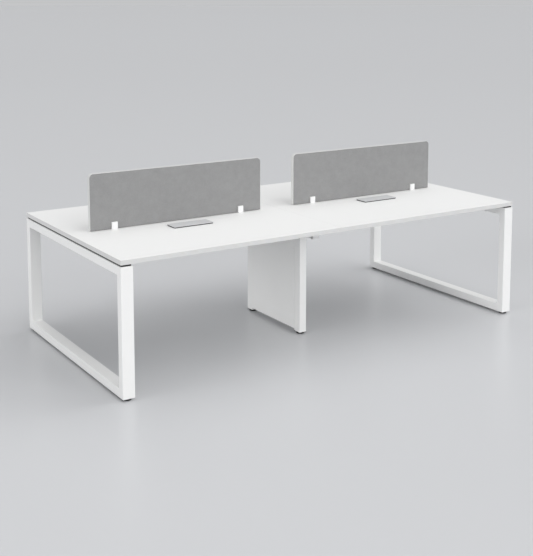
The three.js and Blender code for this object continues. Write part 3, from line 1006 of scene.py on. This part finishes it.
@dataclass
class ScreenClip:
    """Cast saddle that stands on the board and grips a screen."""

    side: Side
    place: ClipPlace
    base: float = 3 * MM
    jaw: float = 10 * MM
    edge_radius: float = 1.2 * MM
    screw_radius: float = 4 * MM
    screw_height: float = 1.2 * MM
    screw_rise: float = 24 * MM

    def build(self) -> None:
        """Makes the saddle and its grip screw."""
        node = f"screen_clip_{self.side}_{self.place}"
        self.build_saddle(node)
        self.build_screw(node)

    def build_saddle(self, node: str) -> None:
        """Makes the base with its two jaws.

        Args:
            node: The CAD node that the saddle replaces.
        """
        low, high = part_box(node)
        bm = block_mesh(low, Vector((high.x, high.y, low.z + self.base)))
        slice_at(bm, Axis.Y, (low.y + self.jaw, high.y - self.jaw))
        for jaw_y in (low.y + self.jaw / 2, high.y - self.jaw / 2):
            self.raise_jaw(bm, jaw_y, high.z)
        bmesh.ops.recalc_face_normals(bm, faces=bm.faces)
        inner_half = (high.y - low.y) / 2 - self.jaw - TOLERANCE

        def outside(edge: bmesh.types.BMEdge) -> bool:
            """True for the sharp edges away from the slot's floor."""
            return edge.calc_face_angle(0.0) > SMOOTH_LIMIT and abs(edge.verts[0].co.y) > inner_half

        round_edges(bm, self.edge_radius, EDGE_SEGMENTS, outside)
        make_piece(bm, f"clip_{self.side}_{self.place}", CLIP_COAT, DESK_BODY, [node])

    def build_screw(self, node: str) -> None:
        """Makes the grip screw's head, half sunk in the rear jaw.

        Args:
            node: The CAD node that gives the saddle's box.
        """
        low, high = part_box(node)
        seat = Vector(((low.x + high.x) / 2, high.y, low.z + self.screw_rise))
        bm = bmesh.new()
        add_rod(bm, seat, Axis.Y, self.screw_radius, 2 * self.screw_height, ROD_FACETS)
        make_piece(bm, f"clip_screw_{self.side}_{self.place}", ZINC, DESK_BODY)

    def raise_jaw(self, bm: bmesh.types.BMesh, jaw_y: float, top: float) -> None:
        """Pulls one jaw up out of the base.

        Args:
            bm: The mesh of the base.
            jaw_y: Middle of the jaw.
            top: Height of the jaw's top.
        """
        faces = [
            face for face in bm.faces
            if face.normal.z > FLAT and abs(face.calc_center_median().y - jaw_y) < TOLERANCE
        ]
        grown = bmesh.ops.extrude_face_region(bm, geom=faces)["geom"]
        bmesh.ops.delete(bm, geom=faces, context="FACES")
        for vert in grown:
            if isinstance(vert, bmesh.types.BMVert):
                vert.co.z = top
        bm.normal_update()


def dress_solids() -> None:
    """Gives each CAD node the finish of its material slot."""
    by_slot = {finish.slot: finish for finish in FINISHES}
    for part in frame["record"]["subparts"]:
        mesh = frame["nodes"][part["node"]].data
        mesh.materials.clear()
        mesh.materials.append(by_slot[part["material_slot"]].material())


# Studio

@dataclass(frozen=True)
class SoftLight:
    """A broad far light, even over the whole desk and not mirrored in anything."""

    name: str
    comes_from: tuple[float, float, float]
    strength: float
    breadth_deg: float

    def build(self) -> None:
        """Hangs the light."""
        lamp = bpy.data.lights.new(self.name, "SUN")
        lamp.energy = self.strength
        lamp.angle = math.radians(self.breadth_deg)
        hung = bpy.data.objects.new(self.name, lamp)
        hung.location = self.comes_from
        hung.visible_glossy = False
        hung.rotation_euler = (-Vector(self.comes_from)).to_track_quat("-Z", "Y").to_euler()
        bpy.context.scene.collection.objects.link(hung)


@dataclass(frozen=True)
class Studio:
    """Pale floor, soft light and the photograph's camera.

    Angles are in degrees, and the lens and its sensor in millimetres.
    """

    floor_half: float = 400.0
    floor_colour: str = "#CBCCCE"
    floor_roughness: float = 0.3
    floor_grain_mm: float = 300.0
    sky_colour: str = "#FCFDFF"
    horizon_strength: float = 0.565
    sky_strength: float = 0.37
    glow_height: float = 0.06
    camera_place: tuple[float, float, float] = (-3.474, -5.2944, 2.0574)
    camera_heading: float = 57.271
    camera_pitch: float = 6.922
    camera_lens: float = 68.082
    camera_sensor: float = 36.0
    camera_shift: float = -0.29
    lights: tuple[SoftLight, ...] = (
        SoftLight("top_light", comes_from=(1.6, -0.3, 6.0), strength=1.37, breadth_deg=85.0),
        SoftLight("front_light", comes_from=(1.4, -7.5, 1.75), strength=1.42, breadth_deg=50.0),
        SoftLight("left_light", comes_from=(-8.0, -1.0, 1.2), strength=1.55, breadth_deg=40.0),
        SoftLight("right_light", comes_from=(7.0, -2.0, 5.0), strength=0.8, breadth_deg=50.0),
    )

    def build(self) -> None:
        """Lays the floor, hangs the lights and sets up the camera."""
        self.lay_floor()
        self.light_sky()
        for light in self.lights:
            light.build()
        self.set_camera()
        bpy.context.scene.view_settings.view_transform = "Standard"

    def lay_floor(self) -> None:
        """Lays a plain floor with a slight gloss."""
        bm = bmesh.new()
        bmesh.ops.create_grid(bm, x_segments=1, y_segments=1, size=self.floor_half)
        mesh = bpy.data.meshes.new("studio_floor")
        bm.to_mesh(mesh)
        bm.free()
        paint = HardFinish(
            name="studio_floor_paint", slot="", colour=self.floor_colour, fleck=self.floor_colour,
            roughness=self.floor_roughness, rougher=self.floor_roughness,
            grain_mm=self.floor_grain_mm, relief_mm=0.0,
        )
        mesh.materials.append(paint.material())
        floor = bpy.data.objects.new("studio_floor", mesh)
        bpy.context.scene.collection.objects.link(floor)

    def light_sky(self) -> None:
        """Sets the soft light from all round, with a low glow along the horizon."""
        world = bpy.data.worlds.new("studio_light")
        world.use_nodes = True
        tree = world.node_tree
        tree.nodes.clear()
        direction = add_node(tree, "ShaderNodeTexCoord")
        parts = add_node(tree, "ShaderNodeSeparateXYZ", {"Vector": direction.outputs["Generated"]})
        strength = add_node(tree, "ShaderNodeMapRange", {
            "Value": parts.outputs["Z"], "From Max": self.glow_height, "To Min": self.horizon_strength,
            "To Max": self.sky_strength,
        })
        sky = add_node(tree, "ShaderNodeBackground", {
            "Color": linear_colour(self.sky_colour), "Strength": strength.outputs["Result"],
        })
        add_node(tree, "ShaderNodeOutputWorld", {"Surface": sky.outputs["Background"]})
        bpy.context.scene.world = world

    def set_camera(self) -> None:
        """Puts the camera where the photograph was taken from."""
        lens = bpy.data.cameras.new("photo_camera")
        lens.sensor_fit = "HORIZONTAL"
        lens.sensor_width = self.camera_sensor
        lens.lens = self.camera_lens
        lens.shift_y = self.camera_shift
        lens.clip_end = 2 * self.floor_half
        camera = bpy.data.objects.new("photo_camera", lens)
        camera.location = self.camera_place
        camera.rotation_euler = (
            math.radians(90 - self.camera_pitch), 0.0, math.radians(self.camera_heading - 90),
        )
        bpy.context.scene.collection.objects.link(camera)
        bpy.context.scene.camera = camera


def main() -> None:
    """Builds the desk, piece by piece, and its studio."""
    logging.basicConfig(level=logging.INFO)
    Studio().build()
    dress_solids()
    for side in Side:
        TableTop(side).build()
        EndFrame(side).build()
        Screen(side).build()
        for end in End:
            CableLid(side, end).build()
            BeamBolts(side, end).build()
            LevellingFoot(f"{side}_{end}").build()
        for place in ClipPlace:
            ScreenClip(side, place).build()
    for end in End:
        LevellingFoot(f"centre_{end}").build()
    CentreLeg().build()


if __name__ == "__main__":
    main()
